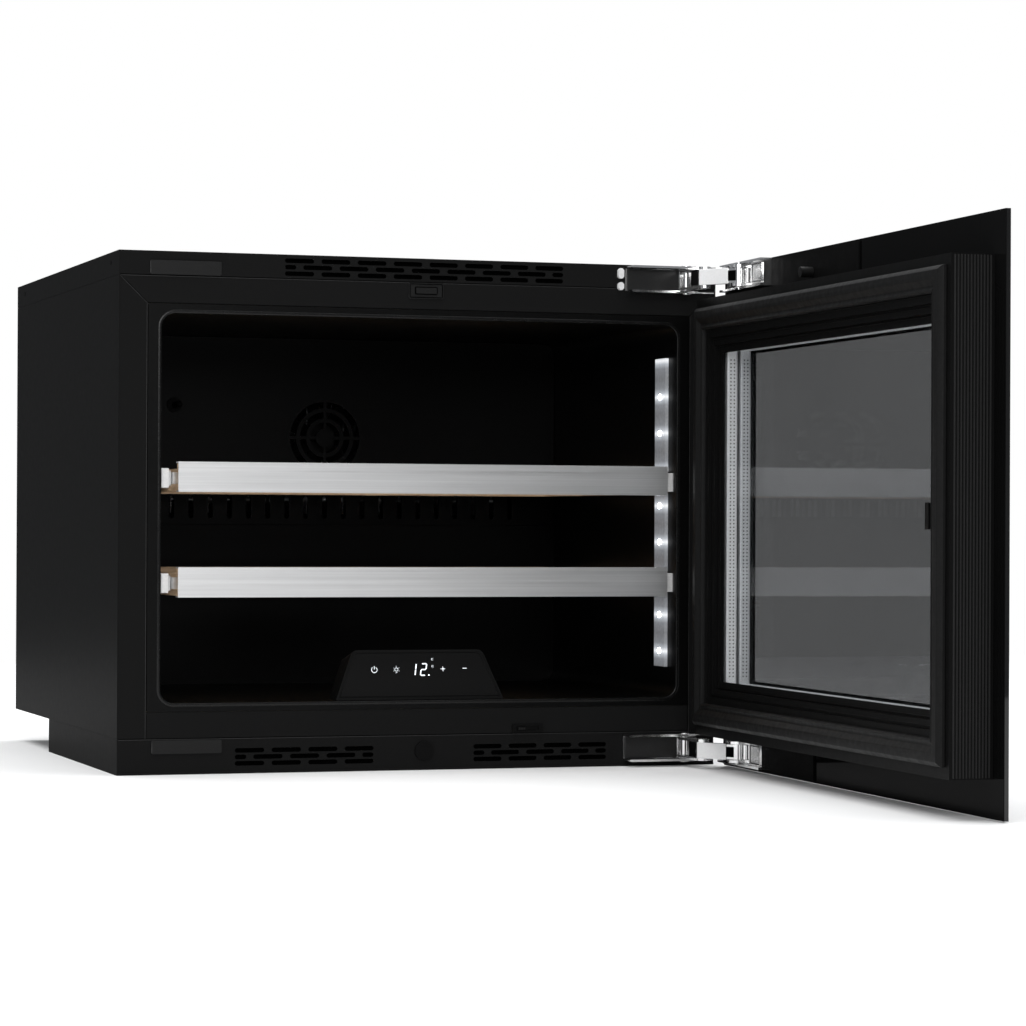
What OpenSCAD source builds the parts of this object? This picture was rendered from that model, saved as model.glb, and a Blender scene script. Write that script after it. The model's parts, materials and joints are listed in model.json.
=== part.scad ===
// Compact built-in wine cooler with a fully integrated glass door on multi-link hinges.
// Front face of the cabinet at y = 0, depth towards +y, left-right centre at x = 0, floor at z = 0.
// The door is drawn open, which is the rest pose of every joint.

/* [Cabinet] */
// Width over the two side panels
cabinet_w = 548; // [540:1:556]
// Overall height, fits a 450 mm niche
cabinet_h = 450; // [446:1:454]
// Depth from the front face to the rear panel
cabinet_d = 496; // [488:1:510]
// Height of the set-back plinth section
plinth_h = 31; // [28:1:33]
// Depth of the plinth section, the rear part is raised for air and cable
plinth_d = 316; // [300:1:325]
// Height of the cap strip along the top
cap_h = 21; // [19:1:22]
// Sheet steel thickness of the outer panels
sheet = 1; // [0.8:0.1:1.2]
// Thickness of the plates on the front face
face_t = 1.5; // [1.2:0.1:2]

/* [Cooled space] */
// Half width of the cooled space
cavity_hw = 236.6; // [235:0.1:238]
// Lower edge of the cooled space
cavity_z0 = 61.4; // [60:0.1:63]
// Upper edge of the cooled space
cavity_z1 = 396.6; // [395:0.1:398]
// Corner radius of the cooled space
cavity_r = 12; // [8:1:14]
// Depth of the cooled space up to the fan cover
cavity_d = 338; // [334:1:342]
// Depth of the recess behind the fan cover
coil_recess_d = 450; // [440:1:455]
// Floor of the recess behind the fan cover
coil_recess_z = 215; // [210:1:220]
// Wall thickness of the moulded liner
liner_t = 2.5; // [2:0.1:3]

/* [Shelves] */
// Lower edges of the two shelf fronts
shelf_z = [152.5, 243];
// Height of a shelf front
shelf_front_h = 26; // [24:1:28]
// Half width of a shelf front
shelf_front_hw = 224; // [220:0.5:225]
// How far a shelf front stands ahead of the cabinet face
shelf_lead = 12; // [8:1:14]
// Depth of a shelf from its front to its rear beam
shelf_d = 330; // [320:1:335]
// Bottles side by side on a shelf
bottles_across = 6; // [5:1:6]
// Bottle spacing on a shelf
bottle_pitch = 67; // [66:0.5:68]

/* [Door] */
// Width of the glass front
door_w = 598; // [594:1:599]
// Height of the glass front
door_h = 448; // [446:1:449]
// Height of the glass front's lower edge above the floor
door_z = 1; // [1:0.5:2]
// Thickness of the outer glass
glass_t = 4; // [4:0.5:5]
// Opening angle at rest
door_angle = 88; // [86:0.5:90]
// Place of the glass front's hinge-side edge with the door open at rest
door_edge = [275.8, -21];
// Distance from the outer glass to the cabinet face with the door shut
door_gap = 43; // [42:0.5:44]

/* [Hinges] */
// Pivot on the cabinet
pivot_cabinet = [240, -14];
// Pivot on the door, along the glass from its hinge-side edge and away from the glass
pivot_door = [64, 11.5];
// Distance between the pivots of each hinge link
link_l = 38; // [37.5:0.5:39]
// Radius of the hinge pins
pin_r = 2.5; // [2:0.1:2.8]
// Running clearance between a pin and its link
pin_clear = 0.05; // [0.03:0.01:0.08]
// Heights of the two hinges' centres
hinge_z = [17, 436.5];

/* [Hidden] */
$fn = 48;
gap = 0.1; // assembly gap between pieces that lie side by side
half_w = cabinet_w / 2;
cap_z = cabinet_h - cap_h;
inner_hw = half_w - sheet;
tray_t = 1.5;

// The liner's flange, which fills the opening of the steel front frame
flange_hw = 248.5;
flange_z = [54, 405];
flange_lip = 0.4;

// Machine compartment in the lower rear corner
machine_y = 362;
machine_z = 190;

// Vents: a brick pattern of round-ended slots
slot_l = 26.2;
slot_h = 4;
slot_pitch = 32.8;
slot_rows = 5.6;
short_l = 10.2;

// Door ring, in door coordinates: u from the hinge-side edge, v from the outer glass inwards
frame_u = [21, 579.3];
frame_z = [30.5, 417];
frame_v = 35;
opening_u = [68, 535];
opening_z = [79, 368];
pane_t = 3;
spacer_v = 9.5;
gasket_w = 20;
gasket_u = [27, 572];
gasket_z = [39.2, 409];

// Shelf runners, outwards from the shelf's side
runner_z = 7;
runner_h = 10;
runner_x = [221, 226, 226.3, 229.9];

// Hinge geometry at rest, from the three pivots
function turn(a, p) = [p[0] * cos(a) - p[1] * sin(a), p[0] * sin(a) + p[1] * cos(a)];
function on_door(u, v) = door_edge + turn(door_angle, [-u, v]);
pivot_b = on_door(pivot_door[0], pivot_door[1]);
pivot_span = pivot_b - pivot_cabinet;
half_span = norm(pivot_span) / 2;
elbow_offset = sqrt(link_l * link_l - half_span * half_span);
elbow = (pivot_cabinet + pivot_b) / 2
    + elbow_offset * [pivot_span[1], -pivot_span[0]] / norm(pivot_span);
housing_h = 24;
flange_t = 2;
link_t = 2.5;
link_w = 11;
link_gap = 0.4;
outer_h = 13;
inner_z = outer_h / 2 + link_gap;

black = "#17181a";
deep_black = "#0c0d0e";
steel = "#b9bcc0";
chrome = "#d4d7db";
beech = "#d2aa78";
foam = "#e6d9a8";

// Rounded rectangle from corner to corner
module round_rect(x0, y0, x1, y1, r) {
    translate([x0 + r, y0]) square([x1 - x0 - 2 * r, y1 - y0]);
    translate([x0, y0 + r]) square([x1 - x0, y1 - y0 - 2 * r]);
    for (x = [x0 + r, x1 - r], y = [y0 + r, y1 - r]) translate([x, y]) circle(r);
}

// Rectangle from corner to corner
module square_between(x0, y0, x1, y1) {
    translate([x0, y0]) square([x1 - x0, y1 - y0]);
}

// Extrudes a shape drawn in x and z along y, from y0 to y1
module along_y(y0, y1) {
    translate([0, y1, 0]) rotate([90, 0, 0]) linear_extrude(y1 - y0) children();
}

// Block from corner to corner
module block(a, b) {
    translate(a) cube(b - a);
}

// Both halves of a pair, mirrored left to right
module pair() {
    children();
    mirror([1, 0, 0]) children();
}

// Places a piece drawn in door coordinates: x = -u, y = v
module in_door() {
    translate([door_edge[0], door_edge[1], 0]) rotate([0, 0, door_angle]) children();
}

// Block in door coordinates
module door_block(u, v, z) {
    block([-u[1], v[0], z[0]], [-u[0], v[1], z[1]]);
}

// Closed ring in door coordinates, w wide inside the given outline
module door_ring(u, z, v, inner_u, inner_z) {
    difference() {
        door_block(u, v, z);
        door_block(inner_u, [v[0] - 1, v[1] + 1], inner_z);
    }
}

// Round-ended slot outline
module slot(length, height) {
    square([length - height, height], center = true);
    for (side = [-1, 1]) translate([side * (length - height) / 2, 0]) circle(height / 2, $fn = 24);
}

// Three rows of slots with the middle row shifted by half a slot
module slot_field(count) {
    for (row = [-1, 1], i = [0 : count - 1])
        translate([(i - (count - 1) / 2) * slot_pitch, row * slot_rows]) slot(slot_l, slot_h);
    for (i = [0 : count - 2]) translate([(i - (count - 2) / 2) * slot_pitch, 0]) slot(slot_l, slot_h);
    for (side = [-1, 1])
        translate([side * ((count - 1) * slot_pitch + slot_l - short_l) / 2, 0]) slot(short_l, slot_h);
}

// ---- Cabinet shell ----

// Four steel bands: the top one is mitred to the stiles, the bottom one stands between them
module front_frame() color(black) {
    x = inner_hw - gap;
    z0 = plinth_h + gap;
    z1 = cap_z - gap;
    along_y(0, face_t) {
        polygon([[-x + gap, z1], [x - gap, z1], [flange_hw, flange_z[1] + gap], [-flange_hw, flange_z[1] + gap]]);
        square_between(-flange_hw + gap, z0, flange_hw - gap, flange_z[0] - gap);
    }
    along_y(0, face_t) for (side = [0, 1]) mirror([side, 0, 0])
        polygon([[-x, z0], [-flange_hw, z0], [-flange_hw, flange_z[1] - gap], [-x, z1 - gap]]);
}

module side_panel() {
    block([-half_w, 0, plinth_h + gap], [-inner_hw, cabinet_d, cap_z - gap]);
}

module side_panel_left() color(black) side_panel();

module side_panel_right() color(black) mirror([1, 0, 0]) side_panel();

// Cap with turned-down edges, and the recessed fixing holes in its sides
fix_y = [35, 455];
fix_z = cap_z + 12;
fix_r = 2.25;
module top_cover() color(black) difference() {
    block([-half_w, face_t + gap, cap_z + gap], [half_w, cabinet_d, cabinet_h]);
    block([-inner_hw, face_t, cap_z], [inner_hw, cabinet_d - sheet, cabinet_h - sheet]);
    for (y = fix_y) translate([0, y, fix_z]) rotate([0, 90, 0]) cylinder(r = fix_r, h = 2 * cabinet_w, center = true);
}

// Rear panel with a louvre over the machine compartment and the inlet cut-out
inlet_x = -190;
inlet_z = 70;
module rear_panel() color(black) difference() {
    block([-inner_hw + gap, cabinet_d - sheet, plinth_h + 1 + 2 * gap], [inner_hw - gap, cabinet_d, cap_z - gap]);
    along_y(cabinet_d - 5, cabinet_d + 5) {
        for (row = [0 : 6], x = [-60, 60]) translate([x, 70 + row * 14]) slot(96, 5);
        translate([inlet_x, inlet_z]) square([48, 28], center = true);
    }
}

module bottom_panel() color(black)
    block([-inner_hw + gap, face_t + gap, plinth_h + gap], [inner_hw - gap, cabinet_d, plinth_h + 1]);

// Open-topped plinth that carries the inlet air from the front strip to the rear
module base_tray() color(black) difference() {
    union() {
        block([-half_w, 0, 0], [half_w, plinth_d, tray_t]);
        block([-half_w, face_t + gap, 0], [half_w, plinth_d, plinth_h]);
    }
    block([-half_w + tray_t, face_t, tray_t], [half_w - tray_t, plinth_d - tray_t, plinth_h + 1]);
    for (x = [-180, -60, 60, 180]) translate([x, plinth_d, 18]) rotate([90, 0, 0])
        linear_extrude(10, center = true) square([90, 14], center = true);
}

module top_vent_strip() color(black) difference() {
    block([-half_w, 0, cap_z + gap], [half_w, face_t, cabinet_h]);
    along_y(-1, face_t + 1) {
        translate([0, cap_z + 10.1]) slot_field(8);
        hinge_screw_holes();
    }
}

// Vented plate over the plinth, stepped back where the lower hinge sits
recess_x = 175;
module bottom_vent_strip() color(black) difference() {
    union() {
        block([-half_w, 0, tray_t + gap], [recess_x, face_t, plinth_h]);
        block([recess_x - 1, 0.6, tray_t + gap], [half_w, face_t, plinth_h]);
    }
    along_y(-1, face_t + 1) {
        for (side = [-1, 1]) translate([side * 108.2, 14.3]) slot_field(4);
        translate([0, 17]) circle(6);
        hinge_screw_holes();
    }
}

// Plastic covers over the hinge holes of the unused side
module hinge_blank_covers() color(deep_black) {
    along_y(-1.2, 0) round_rect(-247, cap_z + 0.8, -184.5, cap_z + 13, 1.5);
    along_y(-1.2, 0) round_rect(-244, 18, -182.5, 29.6, 1.5);
}

// Round cap over the front fixing hole of the plinth
module base_cap() color(deep_black) translate([0, 0, 17]) rotate([90, 0, 0]) {
    cylinder(r = 8.5, h = 1.8);
    translate([0, 0, -6]) cylinder(r = 5.8, h = 6.5);
}

module sensor_plate() color(deep_black) {
    along_y(-1, 0) round_rect(-16, 414.6, 16, cap_z - 0.4, 1.2);
    along_y(-2.2, -0.9) round_rect(-10, 418.6, 10, 424.8, 1);
}

// Small slide switch in the lower band
switch_x = [81.5, 110];
switch_z = [31.4, 39];
module switch_bezel() color(deep_black) difference() {
    along_y(-1.6, 0) round_rect(switch_x[0], switch_z[0], switch_x[1], switch_z[1], 1.2);
    block([switch_x[0] + 4, -3, switch_z[0] + 2], [switch_x[1] - 4, -0.5, switch_z[1] - 2]);
}

module mode_switch() color(black)
    block([switch_x[0] + 4.5, -2.6, switch_z[0] + 2.4], [switch_x[0] + 12.5, -0.6, switch_z[1] - 2.4]);

// ---- Insulated body ----

// Outline of the cooled space, grown by g
module cavity_outline(g, z0 = cavity_z0) {
    round_rect(-cavity_hw - g, z0 - g, cavity_hw + g, cavity_z1 + g, cavity_r + g);
}

// Volume of the liner: the cooled space and the recess behind the fan cover, grown by g
module cavity_solid(g, y0) {
    along_y(y0, cavity_d + g) cavity_outline(g);
    along_y(y0 + 1, coil_recess_d + g) cavity_outline(g, coil_recess_z);
}

module liner() color(deep_black) difference() {
    union() {
        along_y(-flange_lip, face_t)
            round_rect(-flange_hw + gap, flange_z[0] + gap, flange_hw - gap, flange_z[1] - gap, 1);
        cavity_solid(liner_t, 0);
    }
    cavity_solid(0, -flange_lip - 2);
}

module foam_insulation() color(foam) difference() {
    block([-inner_hw + gap, face_t + gap, plinth_h + 1 + gap], [inner_hw - gap, cabinet_d - sheet - gap, cap_z - gap]);
    cavity_solid(liner_t + gap, face_t);
    block([-half_w, machine_y, plinth_h], [half_w, cabinet_d, machine_z]);
}

// Bent sheet that closes the machine compartment off from the foam
module machine_bulkhead() color(steel) difference() {
    block([-inner_hw + gap, machine_y + gap, plinth_h + 1 + gap], [inner_hw - gap, cabinet_d - sheet - gap, machine_z - gap]);
    block([-half_w, machine_y + gap + 0.8, plinth_h], [half_w, cabinet_d, machine_z - gap - 0.8]);
}

// Perforated rear wall of the cooled space
fan_c = [0, 300];
fan_r = 42;
module fan_cover() color(deep_black) difference() {
    along_y(cavity_d + 0.2, cavity_d + 3)
        round_rect(-cavity_hw + 0.5, coil_recess_z + 0.5, cavity_hw - 0.5, cavity_z1 - 0.5, cavity_r - 0.5);
    along_y(cavity_d - 5, cavity_d + 9) {
        for (r = [12, 22, 32]) difference() {
            translate(fan_c) circle(r + 3);
            translate(fan_c) circle(r - 3);
            translate(fan_c) square([3, 100], center = true);
            translate(fan_c) square([100, 3], center = true);
        }
        for (x = [-190 : 19 : 190]) translate([x, 232]) rotate(90) slot(22, 5);
    }
}

// Finned coil behind the fan cover
module evaporator() color(steel) {
    for (x = [-200 : 12.5 : 200]) block([x, cavity_d + 70, 226], [x + 0.6, cavity_d + 104, 386]);
    for (z = [240, 270, 340, 370])
        translate([0, cavity_d + 87, z]) rotate([0, 90, 0]) cylinder(r = 4, h = 412, center = true);
}

// Hub with equal pitched blades about the y axis, centred on the origin
module rotor(r, hub, depth, blades) {
    rotate([90, 0, 0]) difference() {
        cylinder(r = hub, h = depth, center = true);
        cylinder(r = 1.6, h = depth + 1, center = true);
    }
    for (i = [0 : blades - 1]) rotate([0, i * 360 / blades, 0])
        translate([hub - 1, 0, 0]) rotate([35, 0, 0]) block([0, -0.8, -hub * 0.55], [r - hub, 0.8, hub * 0.55]);
}

module evaporator_fan() color(black) translate([fan_c[0], cavity_d + 22, fan_c[1]]) rotor(fan_r - 3, 14, 16, 7);

module temperature_probe() color(black) {
    translate([-150, cavity_d + 0.1, 330]) rotate([90, 0, 0]) {
        cylinder(r = 7, h = 3);
        cylinder(r = 3, h = 22);
        translate([0, 0, 22]) sphere(3);
    }
}

// Upright light bars on the side walls near the front
light_z = [88, 368];
light_y = [20, 46];
// Lit strips at the front of the side walls, broken where the shelf rails pass
module light_bars() color("#e8edf5") pair() difference() {
    block([cavity_hw - 3.2, light_y[0], light_z[0]], [cavity_hw - 0.05, light_y[1], light_z[1]]);
    at_shelves() block([cavity_hw - 4, light_y[0] - 1, runner_z - 5],
                       [cavity_hw, light_y[1] + 1, runner_z + runner_h + 5]);
}

// ---- Controls ----

// Slanted housing on the floor of the cooled space
panel_hw = [77, 62];
panel_z = [cavity_z0 + 0.1, 105];
panel_y = [11, 21];
panel_slope = atan2(panel_y[1] - panel_y[0], panel_z[1] - panel_z[0]);
panel_len = norm([panel_y[1] - panel_y[0], panel_z[1] - panel_z[0]]);
module panel_outline(inset = 0) {
    corner = 7 - inset / 2;
    top = panel_len - inset;
    hull() {
        translate([-panel_hw[0] + inset * 1.3, inset]) square([2 * panel_hw[0] - inset * 2.6, 0.5]);
        for (side = [-1, 1]) translate([side * (panel_hw[1] - corner - inset), top - corner])
            circle(corner, $fn = 32);
    }
}

module control_panel() color(deep_black) difference() {
    translate([0, panel_y[0], panel_z[0]]) rotate([90 - panel_slope, 0, 0])
        translate([0, 0, -34]) linear_extrude(34) panel_outline();
    translate([0, panel_y[0], panel_z[0]]) rotate([90 - panel_slope, 0, 0])
        translate([0, 0, -0.8]) linear_extrude(3) panel_outline(3);
    block([-100, 0, 0], [100, 100, panel_z[0]]);
}

module touch_glass() color(deep_black)
    translate([0, panel_y[0], panel_z[0]]) rotate([90 - panel_slope, 0, 0])
        translate([0, 0, -0.75]) linear_extrude(0.75) panel_outline(3.2);

// ---- Shelves ----

module at_shelves() {
    for (z = shelf_z) translate([0, 0, z]) children();
}

// Channels fixed to the side walls
module shelf_rails() color(steel) at_shelves() pair() translate([0, 6, runner_z]) {
    block([cavity_hw - 1.6, 0, -3.5], [cavity_hw - 0.1, shelf_d - 10, runner_h + 3.5]);
    for (z = [-3.5, runner_h + 2]) block([228.5, 0, z], [cavity_hw - 1.6, shelf_d - 10, z + 1.5]);
}

module runner_middles() color(steel) pair()
    block([runner_x[2], 8, runner_z - 1.5], [runner_x[3], shelf_d - 12, runner_z + runner_h + 1.5]);

module runner_inners() color(steel) pair()
    block([runner_x[0], 0, runner_z], [runner_x[1], shelf_d - 16, runner_z + runner_h]);

// Brushed steel fence with turned-back top and bottom edges
module shelf_front() color(steel) difference() {
    block([-shelf_front_hw, -shelf_lead, 0], [shelf_front_hw, -shelf_lead + 9, shelf_front_h]);
    block([-shelf_front_hw - 1, -shelf_lead + 1.2, 1.2], [shelf_front_hw + 1, -shelf_lead + 10, shelf_front_h - 1.2]);
}

// Beech frame: front and rear beams, side rails and three scalloped cross slats
slat_h = 15;
slat_y = [60, 165, 270];
module shelf_frame() color(beech) {
    block([-runner_x[0], -shelf_lead + 1.4, 1.4], [runner_x[0], -shelf_lead + 19, shelf_front_h - 1.4]);
    block([-runner_x[0], shelf_d - 22, 1], [runner_x[0], shelf_d - 10, 22]);
    pair() block([runner_x[0] - 16, -shelf_lead + 19.1, 1], [runner_x[0], shelf_d - 22.1, 20]);
    for (y = slat_y) difference() {
        block([-runner_x[0] + 16.1, y, 1], [runner_x[0] - 16.1, y + 18, slat_h]);
        for (i = [0 : bottles_across - 1])
            translate([(i - (bottles_across - 1) / 2) * bottle_pitch, y - 1, 5 + 39])
                rotate([-90, 0, 0]) cylinder(r = 39, h = 20, $fn = 96);
    }
}

module upper_runner_middles() translate([0, 0, shelf_z[1]]) runner_middles();

module upper_runner_inners() translate([0, 0, shelf_z[1]]) runner_inners();

module upper_shelf_front() translate([0, 0, shelf_z[1]]) shelf_front();

module upper_shelf_frame() translate([0, 0, shelf_z[1]]) shelf_frame();

module lower_runner_middles() translate([0, 0, shelf_z[0]]) runner_middles();

module lower_runner_inners() translate([0, 0, shelf_z[0]]) runner_inners();

module lower_shelf_front() translate([0, 0, shelf_z[0]]) shelf_front();

module lower_shelf_frame() translate([0, 0, shelf_z[0]]) shelf_frame();

// ---- Cooling machine ----

floor_z = plinth_h + 1;
comp_c = [140, 430];
comp_r = 58;
module compressor() color(black) translate([comp_c[0], comp_c[1], floor_z + 9]) {
    cylinder(r = comp_r, h = 92);
    translate([0, 0, 92]) scale(1) rotate_extrude($fn = 64) intersection() {
        translate([0, -20]) circle(comp_r + 5.5, $fn = 96);
        square([comp_r, 60]);
    }
    block([-80, -48, -0.1], [80, 48, 3]);
}

module compressor_feet() color(deep_black) for (x = [-70, 70], y = [-38, 38])
    translate([comp_c[0] + x, comp_c[1] + y, floor_z + gap]) difference() {
        cylinder(r = 9, h = 8.7);
        cylinder(r = 3.2, h = 9);
    }

// Finned condenser with its tubes
cond_x = [-130, -20];
module condenser() color(black) {
    for (i = [0 : 24]) translate([cond_x[0] + i * 4.5, 380, floor_z + 6]) cube([0.5, 76, 130]);
    for (z = [20, 50, 80, 110], y = [400, 435])
        translate([cond_x[0] - 8, y, floor_z + z]) rotate([0, 90, 0]) cylinder(r = 3, h = 126);
}

module fan_shroud() color(black) difference() {
    block([8, 372, floor_z + 4], [32, 482, floor_z + 128]);
    translate([0, 427, floor_z + 66]) rotate([0, 90, 0]) cylinder(r = 50, h = 50);
}

module condenser_fan() color(black)
    translate([20, 427, floor_z + 66]) rotate([0, 0, 90]) rotor(47, 16, 18, 5);

// Joins a row of points with round pipe
module pipe(points, r) {
    for (i = [0 : len(points) - 2]) {
        d = points[i + 1] - points[i];
        translate(points[i]) rotate([0, acos(d[2] / norm(d)), atan2(d[1], d[0])])
            cylinder(r = r, h = norm(d), $fn = 20);
    }
    for (p = points) translate(p) sphere(r, $fn = 20);
}

module refrigerant_pipes() color("#b87848") {
    pipe([[comp_c[0] - 62, 390, 90], [45, 390, 90], [45, 374, 90], [45, 374, 178], [-160, 374, 178],
          [-160, 400, 178], [-160, 400, 150]], 3);
    pipe([[comp_c[0] + 62, 390, 90], [230, 390, 90], [230, 390, 178]], 4);
}

module drip_tray() color(deep_black) translate([-255, 380, floor_z + 1]) difference() {
    cube([70, 90, 20]);
    translate([2, 2, 2]) cube([66, 86, 20]);
}

module electronics_box() color(deep_black) block([-250, 375, 110], [-180, 470, 170]);

// Socket for a detachable mains lead
module power_inlet() color(deep_black) along_y(cabinet_d - 20, cabinet_d) translate([inlet_x, inlet_z])
    difference() {
        square([47.6, 27.6], center = true);
        square([24, 16], center = true);
    }

// ---- Hinges ----

// Both hinges, the drawing is centred on z = 0
hinge_screw_x = [194, 224];

// Clearance holes for the hinge screws, drawn in x and z
module hinge_screw_holes() {
    for (x = hinge_screw_x, z = hinge_z) translate([x, z]) circle(2.2);
}

module at_hinges() {
    for (z = hinge_z) translate([0, 0, z]) children();
}

module at_pivot(p) {
    translate([p[0], p[1], 0]) children();
}

// Straight bar with round ends and an eye at each pivot
module link(a, b, z0, z1) {
    d = b - a;
    difference() {
        translate([a[0], a[1], z0]) rotate([0, 0, atan2(d[1], d[0])]) linear_extrude(z1 - z0) {
            translate([0, -link_w / 2]) square([norm(d), link_w]);
            circle(link_w / 2);
            translate([norm(d), 0]) circle(link_w / 2);
        }
        for (p = [a, b]) translate([p[0], p[1], z0 - 1]) cylinder(r = pin_r + pin_clear, h = z1 - z0 + 2);
    }
}

// Steel channels on the cabinet face that hold the first pivot
module hinge_housings() color(chrome) at_hinges() difference() {
    along_y(-20, 0) round_rect(186, -housing_h / 2, 249, housing_h / 2, 2);
    block([183, -21, -housing_h / 2 + flange_t], [250, -3, housing_h / 2 - flange_t]);
    at_pivot(pivot_cabinet) cylinder(r = pin_r + 0.02, h = 2 * housing_h, center = true);
    for (x = [194, 224]) translate([x, 0, 0]) rotate([90, 0, 0]) cylinder(r = 2.2, h = 20, center = true);
}

module cabinet_pins() color(chrome) at_hinges() at_pivot(pivot_cabinet)
    cylinder(r = pin_r, h = housing_h, center = true);

module inner_links() color(chrome) at_hinges() for (z = [inner_z, -inner_z - link_t])
    link(pivot_cabinet, elbow, z, z + link_t);

module elbow_pins() color(chrome) at_hinges() at_pivot(elbow)
    cylinder(r = pin_r, h = 2 * (inner_z + link_t) + 0.6, center = true);

module outer_links() color(chrome) at_hinges() link(elbow, pivot_b, -outer_h / 2, outer_h / 2);

module door_pins() color(chrome) at_hinges() at_pivot(pivot_b)
    cylinder(r = pin_r, h = 2 * (inner_z + link_t) + 0.6, center = true);

// Die-cast brackets on the door with two ears around the second link
bracket_u = [16, 120];
module hinge_brackets() color(chrome) at_hinges() in_door() {
    difference() {
        union() {
            block([-bracket_u[1], 1.6, -housing_h / 2], [-bracket_u[0], 4.6, housing_h / 2]);
            block([-bracket_u[1], 4, -housing_h / 2], [-bracket_u[1] + 30, 9, housing_h / 2]);
            for (z = [inner_z, -inner_z - link_t]) translate([0, 0, z]) linear_extrude(link_t) {
                translate([-pivot_door[0] - 8, 4]) square([16, pivot_door[1] - 4]);
                translate([-pivot_door[0], pivot_door[1]]) circle(8);
            }
            for (z = [-housing_h / 2, housing_h / 2 - 2])
                block([-bracket_u[1], 4, z], [-bracket_u[0], 12, z + 2]);
        }
        translate([-pivot_door[0], pivot_door[1], 0])
            cylinder(r = pin_r + 0.02, h = 2 * housing_h, center = true);
        for (x = [30, 102]) translate([-x, 0, 0]) rotate([90, 0, 0])
            cylinder(r = 2.2, h = 40, center = true);
    }
}

// Countersunk screws: two in each housing and two in each bracket
module screw(shank) {
    rotate_extrude() polygon([[0, 0], [4, 0], [4, 0.6], [2, 2.4], [2, shank], [0, shank]]);
}

module hinge_screws() color(steel) at_hinges()
    for (x = hinge_screw_x) translate([x, -5.4, 0]) rotate([-90, 0, 0]) screw(10);

// ---- Door ----

module door_glass() color(deep_black) in_door()
    door_block([0, door_w], [-glass_t, 0], [door_z, door_z + door_h]);

// Ring that holds the inner panes, stepped down to the glass on its inside
module door_frame() color(black) in_door() difference() {
    door_block(frame_u, [0.1, frame_v], frame_z);
    for (s = [[-14, -1, 25.3], [0, 20, 28.6], [-7, 28.5, 32.1], [-14, 32, 36]])
        door_block([opening_u[0] + s[0], opening_u[1] - s[0]], [s[1], s[2]],
                   [opening_z[0] + s[0], opening_z[1] - s[0]]);
}

module door_gasket() color(deep_black) in_door()
    door_ring(gasket_u, gasket_z, [frame_v + 0.1, door_gap - flange_lip - 0.4],
              [gasket_u[0] + gasket_w, gasket_u[1] - gasket_w], [gasket_z[0] + gasket_w, gasket_z[1] - gasket_w]);

// Middle and inner panes of the triple glazing
pane_margin = 13;
pane_v = [spacer_v + 0.1, 2 * spacer_v + pane_t + 0.2];
module inner_panes() color([0.6, 0.65, 0.7, 0.3]) in_door() for (v = pane_v)
    door_block([opening_u[0] - pane_margin, opening_u[1] + pane_margin], [v, v + pane_t],
               [opening_z[0] - pane_margin, opening_z[1] + pane_margin]);

// Aluminium spacer frames between the panes
module glass_spacers() color(steel) in_door() for (v = [0.1, pane_v[0] + pane_t])
    door_ring([opening_u[0] - pane_margin, opening_u[1] + pane_margin],
              [opening_z[0] - pane_margin, opening_z[1] + pane_margin], [v, v + spacer_v],
              [opening_u[0] - 2, opening_u[1] + 2], [opening_z[0] - 2, opening_z[1] + 2]);

// Steel plates behind the top and bottom margins of the glass
module door_margin_plates() color(black) in_door() {
    door_block([2, 318], [0.1, 1.5], [frame_z[1] + 1, door_z + door_h - 1.5]);
    door_block([2, 223], [0.1, 1.5], [door_z + 1.5, frame_z[0] - 1]);
}

module catch_block() color(deep_black) in_door()
    door_block([opening_u[1] - 7, opening_u[1] - 0.1], [25.4, 33], [214, 234]);

module door_bumper() color(deep_black) in_door() translate([-216, 1.6, 429]) rotate([-90, 0, 0])
    cylinder(r = 4.5, h = 11);

front_frame();
side_panel_left();
side_panel_right();
top_cover();
rear_panel();
bottom_panel();
base_tray();
top_vent_strip();
bottom_vent_strip();
hinge_blank_covers();
base_cap();
sensor_plate();
switch_bezel();
mode_switch();
liner();
foam_insulation();
machine_bulkhead();
fan_cover();
evaporator();
evaporator_fan();
temperature_probe();
light_bars();
control_panel();
touch_glass();
shelf_rails();
compressor();
compressor_feet();
condenser();
fan_shroud();
condenser_fan();
refrigerant_pipes();
drip_tray();
electronics_box();
power_inlet();
hinge_housings();
cabinet_pins();
inner_links();
elbow_pins();
outer_links();
door_pins();
hinge_brackets();
hinge_screws();
upper_runner_middles();
upper_runner_inners();
upper_shelf_front();
upper_shelf_frame();
lower_runner_middles();
lower_runner_inners();
lower_shelf_front();
lower_shelf_frame();
door_glass();
door_frame();
door_gasket();
inner_panes();
glass_spacers();
door_margin_plates();
catch_block();
door_bumper();
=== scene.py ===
import json
import math

import bmesh
import bpy
from mathutils import Matrix, Vector


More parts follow.
